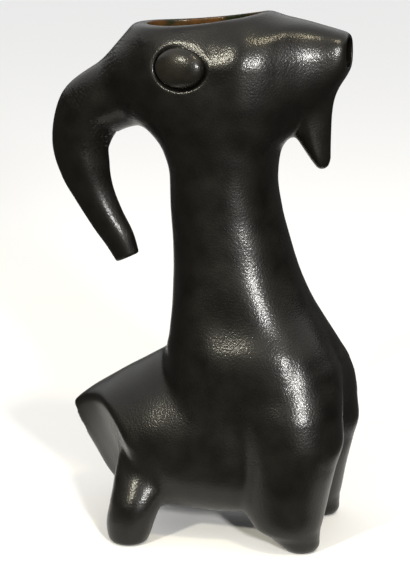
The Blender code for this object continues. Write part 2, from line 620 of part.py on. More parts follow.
def build():
    clear_scene()
    body_room, body_hollow = add_body_room(), add_body_hollow()
    neck_room, neck_bore = add_neck_room(), add_neck_bore()
    head_room, head_hollow = add_head_room(), add_head_hollow()
    muzzle_room, muzzle_bore = add_muzzle_room(), add_muzzle_bore()

    body = add_loft("body_shell", barrel_rings(FORM_SIDES, 2))
    cut(body, *add_scoops("scoop", SCOOP_RADIUS), body_hollow, neck_bore)

    neck = add_loft("neck", standing_rings(neck_rows(), FORM_SIDES, 2))
    cut(neck, body_room, neck_bore)

    head_ring_list = standing_rings(head_rows(), FORM_SIDES, 2)
    head_ring_list[0] = head_ring_list[0] + (0.0, 0.0, SLIP_GAP)
    head = add_loft("head_shell", head_ring_list)
    cut(head, add_above_rim(), head_hollow, muzzle_bore)
    cut(head, add_socket("right_socket", -1), add_socket("left_socket", 1))

    muzzle_ring_list = muzzle_rings(muzzle_rows(), 2)
    muzzle = add_loft("muzzle_spout", muzzle_ring_list)
    cut(muzzle, head_room, muzzle_bore)

    horn_ring_list = horn_rings()
    horn = add_loft("horn_handle", horn_ring_list)
    cut(horn, head_room)

    beard = add_loft("beard", standing_rings(beard_rows(), BEARD_SIDES, 1, power_at=beard_power))
    cut(beard, muzzle_room)

    right_eye, left_eye = add_eye("right_eye", -1), add_eye("left_eye", 1)

    front_right = add_loft("front_right_leg", leg_rings(front_leg_rows(), -1))
    front_left = add_loft("front_left_leg", leg_rings(front_leg_rows(), 1))
    rear_right = add_loft("rear_right_leg", leg_rings(rear_leg_rows(), -1))
    rear_left = add_loft("rear_left_leg", leg_rings(rear_leg_rows(), 1))
    for leg in (front_right, front_left):
        cut(leg, body_room, neck_room)
    for leg in (rear_right, rear_left):
        cut(leg, body_room)

    wall_glaze = glaze("wall_glaze", 0.34)
    for piece in (body, neck, head, muzzle):
        piece.data.materials.append(wall_glaze)
    limb_glaze = glaze("limb_glaze", 0.32)
    for piece in (horn, beard, front_right, front_left, rear_right, rear_left):
        piece.data.materials.append(limb_glaze)
    eye_glaze = glaze("eye_glaze", 0.26)
    for piece in (right_eye, left_eye):
        piece.data.materials.append(eye_glaze)

    outline = np.concatenate([*horn_ring_list, *muzzle_ring_list, *leg_rings(front_leg_rows(), 1)])
    pitcher = bpy.data.objects.new("goat_pitcher", None)
    bpy.context.scene.collection.objects.link(pitcher)
    pitcher.location.x = -(outline[:, 0].min() + outline[:, 0].max()) / 2
    for obj in bpy.data.objects:
        if obj is not pitcher:
            obj.parent = pitcher


build()
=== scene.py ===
"""Looks of the goat-shaped pitcher: hand-formed clay under a black satin glaze, in metres.

The forms follow those of the CAD model. Here they are fields of distance that flow into each other with soft
joints, as clay does when the luted pieces are smoothed over. The clay is then parted along the CAD model's
joints, so that every CAD node has its own closed visible piece.
"""

import math

import bpy
import numpy as np
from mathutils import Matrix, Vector


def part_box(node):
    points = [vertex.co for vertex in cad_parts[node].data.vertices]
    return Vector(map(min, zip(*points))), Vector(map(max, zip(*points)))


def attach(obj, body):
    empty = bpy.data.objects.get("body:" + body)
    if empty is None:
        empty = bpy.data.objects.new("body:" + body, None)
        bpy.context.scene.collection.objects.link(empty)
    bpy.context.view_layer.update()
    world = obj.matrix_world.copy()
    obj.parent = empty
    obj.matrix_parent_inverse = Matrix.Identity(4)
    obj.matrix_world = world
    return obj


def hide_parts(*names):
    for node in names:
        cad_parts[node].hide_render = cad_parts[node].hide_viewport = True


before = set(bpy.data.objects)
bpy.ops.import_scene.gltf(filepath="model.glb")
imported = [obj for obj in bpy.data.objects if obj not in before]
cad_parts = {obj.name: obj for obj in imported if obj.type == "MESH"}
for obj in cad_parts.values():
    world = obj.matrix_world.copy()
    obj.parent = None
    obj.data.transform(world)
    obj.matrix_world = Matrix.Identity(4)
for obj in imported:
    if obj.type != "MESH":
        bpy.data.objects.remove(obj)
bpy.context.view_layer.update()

# Sizes of the CAD model
WALL = 0.005
FORM_POWER = 2.2
BELLY_Z = 0.014
BELLY_POWER = 3.0
BACK_POWER = 1.75
FLANK_Z = 0.055
BACK_Z = 0.108
BODY_HALF_WIDTH = 0.0455
TAIL_X = -0.080
TAIL_Z = 0.068
CHEST_X = 0.076
SCOOP_RADIUS = 0.090
SCOOP_LEAN = math.radians(23.5)
RIDGE_BEHIND_NECK = 0.025
NECK_BACK_X = -0.018
CHEST_FRONT_X = 0.0795
NECK_BASE_HALF_WIDTH = 0.0405
NECK_BASE_POWER = 3.2
NECK_EASE = 0.050
NECK_TOP_Z = 0.2075
NECK_TOP_FRONT_X = 0.0415
NECK_TOP_HALF_WIDTH = 0.0305
HEAD_HALF_WIDTH = 0.0362
HEAD_BACK_X = -0.038
HEAD_FRONT_X = 0.051
EYE_LEVEL = 0.0625
MOUTH_BACK_X = -0.0345
MOUTH_FRONT_X = 0.0335
MOUTH_HALF_WIDTH = 0.0255
MOUTH_BACK_RISE = 0.0855
MOUTH_FRONT_RISE = 0.0925
MOUTH_WALL = 0.0038
MOUTH_DIP = 0.0025
MUZZLE_ROOT_X = 0.0355
JAW_RISE = 0.0255
BROW_DROP = 0.002
MUZZLE_TIP_X = 0.082
MUZZLE_TIP_RISE = 0.0716
MUZZLE_TIP_HALF_HEIGHT = 0.0106
MUZZLE_TIP_HALF_WIDTH = 0.0120
MUZZLE_ROOT_HALF_WIDTH = 0.0315
MUZZLE_TIP_WALL = 0.0032
JAW_POWER = 2.5
BROW_FLATTENING = 0.035
HORN_ROOT_RADIUS = 0.024
HORN_TIP_RADIUS = 0.0086
HORN_FLATNESS = 0.98
HORN_RIDGE_HEIGHT = 0.86
HORN_RIDGE_IN = 0.20
HORN_FACE_IN = math.radians(43)
HORN_FACE_OUT = math.radians(27)
HORN_RIDGE_START = 0.015
HORN_RIDGE_FULL = 0.070
HORN_INSET = 0.016
HORN_ROOT_DROP = 0.0105
HORN_REACH_X = -0.0735
HORN_REACH_DROP = 0.0485
HORN_TIP_X = -0.046
HORN_TIP_Z = 0.157
BEARD_FRONT_X = 0.072
BEARD_TIP_Z = 0.214
BEARD_LENGTH = 0.044
BEARD_DEPTH = 0.0235
BEARD_HALF_WIDTH = 0.0095
BEARD_POWER = 1.5
EYE_X = -0.005
EYE_RISE = 0.0016
EYE_HALF_LENGTH = 0.0134
EYE_HALF_HEIGHT = 0.0103
EYE_BULGE = 0.0055
EYE_SINK = 0.0026
EYE_GROOVE = 0.0018
FRONT_FOOT_X = 0.0645
FRONT_FOOT_Y = 0.030
FRONT_FOOT_RADIUS = 0.0104
SHOULDER_X = 0.058
SHOULDER_Y = 0.0255
SHOULDER_HALF_LENGTH = 0.0285
SHOULDER_HALF_WIDTH = 0.0243
SHOULDER_Z = 0.072
REAR_FOOT_X = -0.034
REAR_FOOT_Y = 0.043
REAR_FOOT_RADIUS = 0.0115
THIGH_X = -0.0295
THIGH_Y = 0.034
THIGH_RADIUS = 0.0158
THIGH_Z = 0.032
FOOT_EDGE = 0.0025

# Sizes that differ from the CAD model's, or that only the visible clay has
MUZZLE_INSET = 0.030
CHEEK_SHARE = 0.66
CHEEK_LEAN = 1.30
BROW_DOME = 0.30
LEG_TOP_Z = SHOULDER_Z + 0.035  # where the legs' own pieces end
LIP_TAPER = 0.020  # over which the wall thins towards the mouth
WOBBLE = 0.00008  # of a surface smoothed by hand

# How softly the clay pieces flow into each other, and how round their edges are
NECK_BLEND_BACK = 0.006
NECK_BLEND_SIDE = 0.030
NECK_BLEND_LOW_SHARE = 0.3  # of the blend, above and below the neck's base
CREASE_SHARE = 0.75  # of the blend that is taken away in the crease between belly and front leg
MUZZLE_BLEND = 0.016
MUZZLE_BLEND_BACK = 0.002
HORN_BLEND = 0.020
BEARD_BLEND = 0.006
SHOULDER_BLEND = 0.020
SHOULDER_BLEND_TOP = 0.001
REAR_LEG_BLEND = 0.006
CLEFT_BLEND = 0.002
RIDGE_ROUND = 0.004
LIP_ROUND = 0.0022
TIP_ROUND = 0.004
TAIL_ROUND = 0.002
CHEST_ROUND = 0.004
LEG_TOP_ROUND = 0.004
FOOT_ROUND = 0.0008
MUZZLE_ROOT_ROUND = 0.012
BEARD_END_ROUND = 0.002
HORN_TIP_ROUND = 0.0015
BROW_ROOT_ROUND = 0.012
BROW_ROUND = 0.003
HORN_RIDGE_ROUND = 0.008
HORN_ROOT_RISE = 0.5  # of the radius, by which the ridge fades towards the root
HORN_FACE_ROUND = 0.006
SOCKET_ROUND = 0.0022
GLAZE_FILL = 0.0006  # by which the glaze narrows the groove round the eyes

# How finely the clay is cut
CELL = 0.0011
BLOCK = 6  # cells along the side of a block
PIECE_MARGIN = 0.009  # round a CAD node's box
SECTION_STEP = 0.005  # over which a form's sections are compared
NEAR_SHARE = 1.3  # of a block, within which the surface is looked for
STEP_SHARE = 0.7  # of a cell, the farthest that a point is moved at once
LEAST_SLOPE = 0.05
LEAST_SPREAD = 1e-3
SMALL = 1e-6
FAR = 1.0
TINY = 1e-9

SHIFT_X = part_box("muzzle_spout")[1][0] - MUZZLE_TIP_X  # from the forms' own origin to the frame's

# The pairs of colours between which the glaze varies, and where the inner glaze begins
OUTER_DARK = (0.0026, 0.0023, 0.0018)
OUTER_LIGHT = (0.0056, 0.0049, 0.0037)
INNER_GREEN = (0.012, 0.014, 0.006)
INNER_AMBER = (0.085, 0.036, 0.010)
INNER_EDGE = 0.0010  # from the hollow
INNER_FADE = 0.0008

# The camera, the lamps, and the white paper on the floor where the camera looks
CAMERA_AZIMUTH = 15.0
CAMERA_PITCH = 14.0
CAMERA_DISTANCE = 1.0
CAMERA_LENS = 110.2
CAMERA_SENSOR = 36.0
AIM = Vector((SHIFT_X, 0.0, 0.1435))
LAMP_DISTANCE = 1.2
WORLD_LIGHT = 0.03
FLOOR_SIZE = 12.0
PAPER_NEAR_EDGE = (-0.100, -0.072)
PAPER_SIDE_EDGE = (0.165, 0.125)
PAPER_WIDENING = 0.115  # of its half width for each metre away
PAPER_LEVELS = (0.82, 1.0)  # near and far
PAPER_LEVELS_AT = (0.1, 0.8)
FLOOR_DARK = (0.03, 0.03, 0.03)
FLOOR_WHITE = (0.98, 0.98, 0.98)


# Forms of the pieces: the CAD model's rows, some of them eased for the softer skin

def between(start, end, share):
    return start + (end - start) * share


def barrel_rows():
    """The body: x, underside, widest level, top and half width."""
    return [
        (TAIL_X - 0.002, TAIL_Z - 0.010, TAIL_Z - 0.004, TAIL_Z - 0.001, 0.004),
        (TAIL_X + 0.011, TAIL_Z - 0.028, TAIL_Z - 0.007, TAIL_Z + 0.009, 0.025),
        (TAIL_X + 0.022, BELLY_Z + 0.010, FLANK_Z + 0.003, TAIL_Z + 0.0165, 0.035),
        (TAIL_X + 0.040, BELLY_Z, FLANK_Z, BACK_Z - 0.0125, BODY_HALF_WIDTH - 0.004),
        (NECK_BACK_X, BELLY_Z, FLANK_Z, BACK_Z, BODY_HALF_WIDTH - 0.001),
        (0.0, BELLY_Z, FLANK_Z, BACK_Z + 0.009, BODY_HALF_WIDTH),
        (CHEST_X - 0.064, BELLY_Z, FLANK_Z + 0.001, BACK_Z + 0.015, BODY_HALF_WIDTH),
        (CHEST_X - 0.053, BELLY_Z, FLANK_Z + 0.002, BACK_Z + 0.0175, BODY_HALF_WIDTH - 0.0012),
        (CHEST_X - 0.044, BELLY_Z, FLANK_Z + 0.0025, BACK_Z + 0.0165, BODY_HALF_WIDTH - 0.0045),
        (CHEST_X - 0.035, BELLY_Z + 0.001, FLANK_Z + 0.004, BACK_Z + 0.0120, BODY_HALF_WIDTH - 0.0090),
        (CHEST_X - 0.024, BELLY_Z + 0.004, FLANK_Z + 0.006, BACK_Z + 0.004, BODY_HALF_WIDTH - 0.0140),
        (CHEST_X - 0.009, BELLY_Z + 0.018, FLANK_Z + 0.008, BACK_Z - 0.012, BODY_HALF_WIDTH - 0.0205),
        (CHEST_X, BELLY_Z + 0.045, FLANK_Z + 0.011, BACK_Z - 0.035, BODY_HALF_WIDTH - 0.0375),
    ]


def neck_rows():
    """The neck: z, back, front and half width. The lowest rows lie inside the body."""
    return [
        (BACK_Z - 0.063, NECK_BACK_X + 0.0320, CHEST_FRONT_X - 0.0370, NECK_BASE_HALF_WIDTH - 0.0265),
        (BACK_Z - 0.033, NECK_BACK_X + 0.0095, CHEST_FRONT_X - 0.0095, NECK_BASE_HALF_WIDTH - 0.0060),
        (BACK_Z - 0.020, NECK_BACK_X + 0.0025, CHEST_FRONT_X - 0.001, NECK_BASE_HALF_WIDTH - 0.0030),
        (BACK_Z - 0.008, NECK_BACK_X - 0.0015, CHEST_FRONT_X, NECK_BASE_HALF_WIDTH - 0.0012),
        (BACK_Z + 0.002, NECK_BACK_X - 0.001, CHEST_FRONT_X - 0.004, NECK_BASE_HALF_WIDTH - 0.0010),
        (BACK_Z + 0.012, NECK_BACK_X + 0.0005, CHEST_FRONT_X - 0.0085, NECK_BASE_HALF_WIDTH - 0.0020),
        (NECK_TOP_Z - 0.0715, NECK_BACK_X + 0.001, NECK_TOP_FRONT_X + 0.0205, NECK_TOP_HALF_WIDTH + 0.0055),
        (NECK_TOP_Z - 0.0555, NECK_BACK_X + 0.001, NECK_TOP_FRONT_X + 0.014, NECK_TOP_HALF_WIDTH + 0.0033),
        (NECK_TOP_Z - 0.0375, NECK_BACK_X + 0.0005, NECK_TOP_FRONT_X + 0.008, NECK_TOP_HALF_WIDTH + 0.0015),
        (NECK_TOP_Z - 0.0175, NECK_BACK_X - 0.0005, NECK_TOP_FRONT_X + 0.0023, NECK_TOP_HALF_WIDTH),
        (NECK_TOP_Z, NECK_BACK_X - 0.001, NECK_TOP_FRONT_X, NECK_TOP_HALF_WIDTH),
    ]


def head_rows():
    """The head: z, back, front and half width. The last row lies above the rim."""
    neck = (NECK_TOP_Z, NECK_BACK_X - 0.001, NECK_TOP_FRONT_X, NECK_TOP_HALF_WIDTH)
    eyes = (NECK_TOP_Z + EYE_LEVEL, HEAD_BACK_X, HEAD_FRONT_X, HEAD_HALF_WIDTH)
    draw_in = MOUTH_WALL / 4
    rim = (NECK_TOP_Z + MOUTH_FRONT_RISE, MOUTH_BACK_X + draw_in, MOUTH_FRONT_X, MOUTH_HALF_WIDTH - draw_in)
    rows = [neck]
    for shares in ((0.232, 0.184, 0.105, 0.263), (0.488, 0.605, 0.737, 0.702), (0.76, 0.895, 1.0, 1.0)):
        rows.append([between(low, high, share) for low, high, share in zip(neck, eyes, shares)])
    for shares in ((0.0, 0.0, 0.057, 0.0), (0.433, 0.0, 0.343, 0.316), (0.733, 0.444, 0.714, 0.684)):
        rows.append([between(low, high, share) for low, high, share in zip(eyes, rim, shares)])
    above = (rim[0] + 2 * MOUTH_WALL, rim[1] + 2 * draw_in, rim[2] - 2 * draw_in, rim[3] - 2 * draw_in)
    return [*rows, rim, above]


def muzzle_rows():
    """The muzzle: x, jaw, widest level, brow and half width. The first rows lie inside the head."""
    jaw = NECK_TOP_Z + JAW_RISE
    brow = NECK_TOP_Z + MOUTH_FRONT_RISE - BROW_DROP
    tip = NECK_TOP_Z + MUZZLE_TIP_RISE
    root = (between(jaw, brow, 0.046), between(jaw, brow, CHEEK_SHARE), between(brow, jaw, 0.03),
            MUZZLE_ROOT_HALF_WIDTH)
    rows = [(MUZZLE_ROOT_X - MUZZLE_INSET, *root), (MUZZLE_ROOT_X - MUZZLE_INSET + 0.001, *root)]
    tapers = [
        (-0.25, 0.0, 0.0, -0.026),
        (0.0, 0.0, 0.0, 0.087),
        (0.2688, 0.0845, 0.0843, 0.390),
        (0.4839, 0.2676, 0.2410, 0.600),
        (0.6989, 0.5239, 0.5060, 0.765),
        (0.8710, 0.7775, 0.7831, 0.875),
        (1.0, 1.0, 1.0, 1.0),
    ]
    for along, up, down, inward in tapers:
        low = between(jaw, tip - MUZZLE_TIP_HALF_HEIGHT, up)
        high = between(brow, tip + MUZZLE_TIP_HALF_HEIGHT, down)
        rows.append((
            between(MUZZLE_ROOT_X, MUZZLE_TIP_X, along),
            low,
            between(low, high, between(CHEEK_SHARE, 0.5, max(along, 0.0))),
            high,
            between(MUZZLE_ROOT_HALF_WIDTH, MUZZLE_TIP_HALF_WIDTH, inward),
        ))
    return rows


def horn_rows():
    """The horn's middle line from inside the head to the tip: x, z and radius."""
    root_z = NECK_TOP_Z + EYE_LEVEL - HORN_ROOT_DROP
    reach_z = NECK_TOP_Z + EYE_LEVEL - HORN_REACH_DROP
    rows = [(HEAD_BACK_X + HORN_INSET, root_z + HORN_INSET * 0.344, HORN_ROOT_RADIUS * 1.125)]
    for back, down, thinner in ((0.0, 0.0, 0.0), (0.3803, 0.1842, 0.2597), (0.8310, 0.4868, 0.2922)):
        rows.append((
            between(HEAD_BACK_X, HORN_REACH_X, back),
            between(root_z, reach_z, down),
            between(HORN_ROOT_RADIUS, HORN_TIP_RADIUS, thinner),
        ))
    tapers = [
        (0.0, 0.0, 0.4026),
        (0.0909, 0.2, 0.5195),
        (0.2727, 0.4109, 0.6883),
        (0.5418, 0.6372, 0.7987),
        (0.8182, 0.8295, 0.8961),
        (1.0, 1.0, 1.0),
    ]
    for forward, down, thinner in tapers:
        rows.append((
            between(HORN_REACH_X, HORN_TIP_X, forward),
            between(reach_z, HORN_TIP_Z, down),
            between(HORN_ROOT_RADIUS, HORN_TIP_RADIUS, thinner),
        ))
    return rows


def beard_rows():
    """The beard: z, back, front and half width. The top rows lie inside the muzzle."""
    tapers = [
        (0.0, 0.298, 0.128, 0.2105),
        (0.0568, 0.383, 0.043, 0.4737),
        (0.1591, 0.532, 0.0, 0.6842),
        (0.3636, 0.787, 0.0, 0.8737),
        (0.5909, 0.957, 0.0, 1.0),
        (1.0, 1.0, -0.043, 1.0526),
    ]
    rows = []
    for up, back, front, wide in tapers:
        rows.append((
            BEARD_TIP_Z + BEARD_LENGTH * up,
            BEARD_FRONT_X - BEARD_DEPTH * back,
            BEARD_FRONT_X - BEARD_DEPTH * front,
            BEARD_HALF_WIDTH * wide,
        ))
    return rows


def front_leg_rows():
    """A front leg on the goat's left, up into the neck: z, middle x, middle y, half length and half width."""
    rows = [
        (0.0, FRONT_FOOT_X, FRONT_FOOT_Y, FRONT_FOOT_RADIUS - FOOT_EDGE, FRONT_FOOT_RADIUS - FOOT_EDGE),
        (FOOT_EDGE, FRONT_FOOT_X - 0.0005, FRONT_FOOT_Y, FRONT_FOOT_RADIUS, FRONT_FOOT_RADIUS),
        (0.008, FRONT_FOOT_X - 0.004, FRONT_FOOT_Y, FRONT_FOOT_RADIUS + 0.004, FRONT_FOOT_RADIUS + 0.0025),
        (BELLY_Z, SHOULDER_X - 0.002, FRONT_FOOT_Y - 0.0005, SHOULDER_HALF_LENGTH - 0.009, 0.0175),
        (BELLY_Z + 0.013, SHOULDER_X - 0.0035, SHOULDER_Y + 0.002, SHOULDER_HALF_LENGTH - 0.0048, 0.0210),
    ]
    tapers = [
        (-0.022, 0.0015, -0.001, 0.002, 0.0008),
        (-0.008, 0.0, 0.0, 0.0, 0.0),
        (0.006, 0.001, 0.001, 0.001, 0.001),
        (0.018, 0.004, 0.004, 0.0015, 0.0035),
        (0.030, 0.010, 0.007, 0.0075, 0.0078),
        (0.044, 0.016, 0.0105, 0.0165, 0.0133),
        (0.060, 0.021, 0.0145, 0.0220, 0.0183),
        (0.082, 0.026, 0.0205, 0.0265, 0.0223),
        (0.095, 0.026, 0.0205, 0.0265, 0.0223),
    ]
    for up, back, inward, shorter, thinner in tapers:
        rows.append((
            SHOULDER_Z + up,
            SHOULDER_X - back,
            SHOULDER_Y - inward,
            SHOULDER_HALF_LENGTH - shorter,
            SHOULDER_HALF_WIDTH - thinner,
        ))
    return rows


def rear_leg_rows():
    """A rear leg on the goat's left: z, middle x, middle y, half length and half width."""
    return [
        (0.0, REAR_FOOT_X, REAR_FOOT_Y, REAR_FOOT_RADIUS - FOOT_EDGE, REAR_FOOT_RADIUS - FOOT_EDGE),
        (FOOT_EDGE, REAR_FOOT_X, REAR_FOOT_Y, REAR_FOOT_RADIUS, REAR_FOOT_RADIUS),
        (0.010, REAR_FOOT_X + 0.0005, REAR_FOOT_Y - 0.001, REAR_FOOT_RADIUS + 0.002,
         REAR_FOOT_RADIUS + 0.001),
        (THIGH_Z - 0.010, THIGH_X - 0.0015, THIGH_Y + 0.005, THIGH_RADIUS - 0.001, THIGH_RADIUS - 0.0018),
        (THIGH_Z, THIGH_X, THIGH_Y, THIGH_RADIUS, THIGH_RADIUS - 0.001),
        (THIGH_Z + 0.012, THIGH_X, THIGH_Y - 0.006, THIGH_RADIUS - 0.001, THIGH_RADIUS - 0.002),
        (THIGH_Z + 0.024, THIGH_X, THIGH_Y - 0.012, THIGH_RADIUS - 0.006, THIGH_RADIUS - 0.006),
    ]


def smooth_rows(rows, per_span):
    """The given rows and even steps between them along a curve that does not overshoot."""
    table = np.array(rows, float)
    steps = np.linalg.norm(np.diff(table, axis=0), axis=1)
    rises = np.diff(table, axis=0) / steps[:, None]
    before, after = rises[:-1], rises[1:]
    both = before + after
    inner = np.where(before * after > 0, 2 * before * after / np.where(both == 0, 1, both), 0.0)
    tangents = np.vstack([rises[0], inner, rises[-1]])
    smooth = []
    for k, width in enumerate(steps):
        for t in np.arange(per_span) / per_span:
            smooth.append(
                (1 + 2 * t) * (1 - t) ** 2 * table[k]
                + t * (1 - t) ** 2 * width * tangents[k]
                + t**2 * (3 - 2 * t) * table[k + 1]
                + t**2 * (t - 1) * width * tangents[k + 1]
            )
    return np.array([*smooth, table[-1]])


BARREL = smooth_rows(barrel_rows(), 12)
TRUNK = smooth_rows([*neck_rows(), *head_rows()[1:]], 12)
MUZZLE = smooth_rows(muzzle_rows(), 12)
BEARD = smooth_rows(beard_rows(), 8)
FRONT_LEG = smooth_rows(front_leg_rows(), 8)
REAR_LEG = smooth_rows(rear_leg_rows(), 8)
HORN = smooth_rows(horn_rows(), 22)


# Distance fields of the forms, from arrays of points

ELLIPSE_POWER = 2.0  # of a section's outline, which is squarer with a higher power


def read_rows(table, level):
    return [np.interp(level, table[:, 0], table[:, k]) for k in range(1, table.shape[1])]


def from_section(a, b, half_a, half_b, power):
    """Distance from a superellipse, along the line from its middle."""
    reach = np.hypot(a, b) + TINY
    share = ((np.abs(a) / half_a) ** power + (np.abs(b) / half_b) ** power) ** (1 / power) + TINY
    return reach - reach / share


def evened(form, points, axis):
    """A form's distance, corrected for the way its sections change along an axis."""
    step = np.zeros(3)
    step[axis] = SECTION_STEP
    change = (form(points + step) - form(points - step)) / (2 * step[axis])
    return form(points) / np.sqrt(1 + change**2)


def join(a, b, blend):
    """The union of two fields with a soft inner corner."""
    reach = 1.5 * blend
    near = np.maximum(reach - np.abs(a - b), 0) / reach
    return np.minimum(a, b) - near**3 * blend / 4


def keep(a, b, blend):
    """The part that two fields share, with a rounded edge."""
    return -join(-a, -b, blend)


def eased(value, start, end):
    """A share that goes smoothly from 0 at the start to 1 at the end."""
    share = np.clip((value - start) / (end - start), 0, 1)
    return share * share * (3 - 2 * share)


def barrel_sections(points):
    low, widest, high, half_width = read_rows(BARREL, points[:, 0])
    over = points[:, 2] - widest
    half_height = np.where(over > 0, high - widest, widest - low)
    power = np.where(over > 0, BACK_POWER, BELLY_POWER)
    return from_section(points[:, 1], over, half_width, half_height, power)


def upright_sections(table, points, power):
    back, front, half_width = read_rows(table, points[:, 2])
    from_middle = points[:, 0] - (front + back) / 2
    return from_section(from_middle, points[:, 1], (front - back) / 2, half_width, power)


def trunk_sections(points):
    power = between(NECK_BASE_POWER, FORM_POWER, eased(points[:, 2], BACK_Z, BACK_Z + NECK_EASE))
    return upright_sections(TRUNK, points, power)


def beard_sections(points):
    return upright_sections(BEARD, points, BEARD_POWER)


def muzzle_sections(points):
    low, widest, high, half_width = read_rows(MUZZLE, points[:, 0])
    over = points[:, 2] - widest
    half_height = np.where(over > 0, half_width * CHEEK_LEAN, widest - low)
    power = np.where(over > 0, ELLIPSE_POWER, JAW_POWER)
    sides = from_section(points[:, 1], over, half_width, half_height, power)
    top = points[:, 2] - high + half_width * (BROW_FLATTENING + BROW_DOME * (points[:, 1] / half_width) ** 2)
    forward = eased(points[:, 0], MUZZLE_ROOT_X, HEAD_FRONT_X)
    return keep(sides, top, between(BROW_ROOT_ROUND, BROW_ROUND, forward))


def leg_sections(table):
    def sections(points):
        x_mid, y_mid, half_length, half_width = read_rows(table, points[:, 2])
        x_off, y_off = points[:, 0] - x_mid, points[:, 1] - y_mid
        return from_section(x_off, y_off, half_length, half_width, ELLIPSE_POWER)
    return sections


FRONT_LEG_SECTIONS = leg_sections(FRONT_LEG)
REAR_LEG_SECTIONS = leg_sections(REAR_LEG)


def scoop_axis():
    """A point and the direction of the axis of the hollow face on the goat's left."""
    ridge = np.array([NECK_BACK_X - RIDGE_BEHIND_NECK, BODY_HALF_WIDTH - 0.009, TAIL_Z - 0.002])
    tail = np.array([TAIL_X, 0.002, TAIL_Z])
    lean = np.array([math.sin(SCOOP_LEAN), 0.0, -math.cos(SCOOP_LEAN)])
    chord = tail - ridge
    outward = np.cross(chord, lean)
    outward *= -np.sign(outward[0]) / np.linalg.norm(outward)
    return (ridge + tail) / 2 + outward * math.sqrt(SCOOP_RADIUS**2 - chord @ chord / 4), lean


def on_left(points):
    """The points, with those on the goat's right mirrored to its left."""
    return points * (1, 0, 1) + np.abs(points) * (0, 1, 0)


def within(low, high):
    """Limits a field to a box of corners in its forms' own frame. Elsewhere its form is far away."""
    def limit(field):
        def limited(points):
            near = ((points > low) & (points < high)).all(axis=1)
            result = np.full(len(points), FAR)
            if near.any():
                result[near] = field(points[near])
            return result
        return limited
    return limit


@within((-0.15, -0.10, -0.05), (0.13, 0.10, 0.20))
def body_field(points):
    """The barrel, with the hollow face on each side of the rump."""
    body = evened(barrel_sections, points, 0)
    body = keep(body, BARREL[0, 0] - points[:, 0], TAIL_ROUND)
    body = keep(body, points[:, 0] - BARREL[-1, 0], CHEST_ROUND)
    middle, lean = scoop_axis()
    off = on_left(points) - middle
    off = off - np.outer(off @ lean, lean)
    return keep(body, SCOOP_RADIUS - np.linalg.norm(off, axis=1), RIDGE_ROUND)


def trunk_field(points):
    """The neck and the head, carried on past the rim."""
    return np.maximum(evened(trunk_sections, points, 2), TRUNK[0, 0] - points[:, 2])


@within((MUZZLE[0, 0] - 0.05, -0.08, 0.19), (0.14, 0.08, 0.35))
def muzzle_field(points):
    """The muzzle, carried on past its tip."""
    return keep(evened(muzzle_sections, points, 0), MUZZLE[0, 0] - points[:, 0], MUZZLE_ROOT_ROUND)


def leg_pair(sections, table):
    """The field of both legs of a pair."""
    @within((-0.09, -0.09, -0.05), (0.14, 0.09, 0.18))
    def field(points):
        mirrored = on_left(points)
        over_top = points[:, 2] - table[-1, 0]
        leg = keep(evened(sections, mirrored, 2), over_top, LEG_TOP_ROUND)
        other = keep(evened(sections, mirrored * (1, -1, 1), 2), over_top, LEG_TOP_ROUND)
        return keep(join(leg, other, CLEFT_BLEND), -points[:, 2], FOOT_ROUND)
    return field


front_legs_field = leg_pair(FRONT_LEG_SECTIONS, FRONT_LEG)
rear_legs_field = leg_pair(REAR_LEG_SECTIONS, REAR_LEG)


@within((0.02, -0.04, 0.19), (0.10, 0.04, BEARD[-1, 0] + 0.02))
def beard_field(points):
    beard = evened(beard_sections, points, 2)
    beard = keep(beard, points[:, 2] - BEARD[-1, 0], BEARD_END_ROUND)
    return keep(beard, BEARD[0, 0] - points[:, 2], BEARD_END_ROUND)


HORN_LOW = (HORN[:, 0].min() - 0.05, -0.08, HORN[:, 1].min() - 0.05)
HORN_HIGH = (HORN[0, 0] + 0.05, 0.08, HORN[:, 1].max() + 0.05)


@within(HORN_LOW, HORN_HIGH)
def horn_field(points):
    """The horn, measured from its middle line."""
    x, y, z = points.T
    nearest = np.full(len(x), 1.0)
    offset, beyond, travel = [np.zeros(len(x)) for _ in range(3)]
    radius = np.ones(len(x))
    start = 0.0
    for (x0, z0, r0), (x1, z1, r1) in zip(HORN[:-1], HORN[1:]):
        length = math.hypot(x1 - x0, z1 - z0)
        dx, dz = (x1 - x0) / length, (z1 - z0) / length
        along = (x - x0) * dx + (z - z0) * dz
        on = np.clip(along, 0, length)
        gap = (x - x0 - on * dx) ** 2 + (z - z0 - on * dz) ** 2
        closer = gap < nearest
        nearest = np.where(closer, gap, nearest)
        across = (z - z0) * dx - (x - x0) * dz
        offset = np.where(closer, np.sign(across) * np.sqrt(gap), offset)
        radius = np.where(closer, r0 + (r1 - r0) * on / length, radius)
        travel = np.where(closer, start + on, travel)
        beyond = along - length
        start += length
    horn = from_section(offset, y, radius, radius * HORN_FLATNESS, ELLIPSE_POWER)
    across = offset - radius * HORN_RIDGE_IN
    rounder = 1 - eased(travel, HORN_RIDGE_START, HORN_RIDGE_FULL)
    height = np.abs(y) - radius * (HORN_RIDGE_HEIGHT + HORN_ROOT_RISE * rounder)
    inner = across * math.sin(HORN_FACE_IN) + height * math.cos(HORN_FACE_IN)
    outer = -across * math.sin(HORN_FACE_OUT) + height * math.cos(HORN_FACE_OUT)
    horn = keep(horn, keep(inner, outer, HORN_RIDGE_ROUND), HORN_FACE_ROUND)
    tip_side = (z < HORN_TIP_Z + 0.03) & (x > HORN_REACH_X)
    return np.where(tip_side, keep(horn, beyond, HORN_TIP_ROUND), horn)


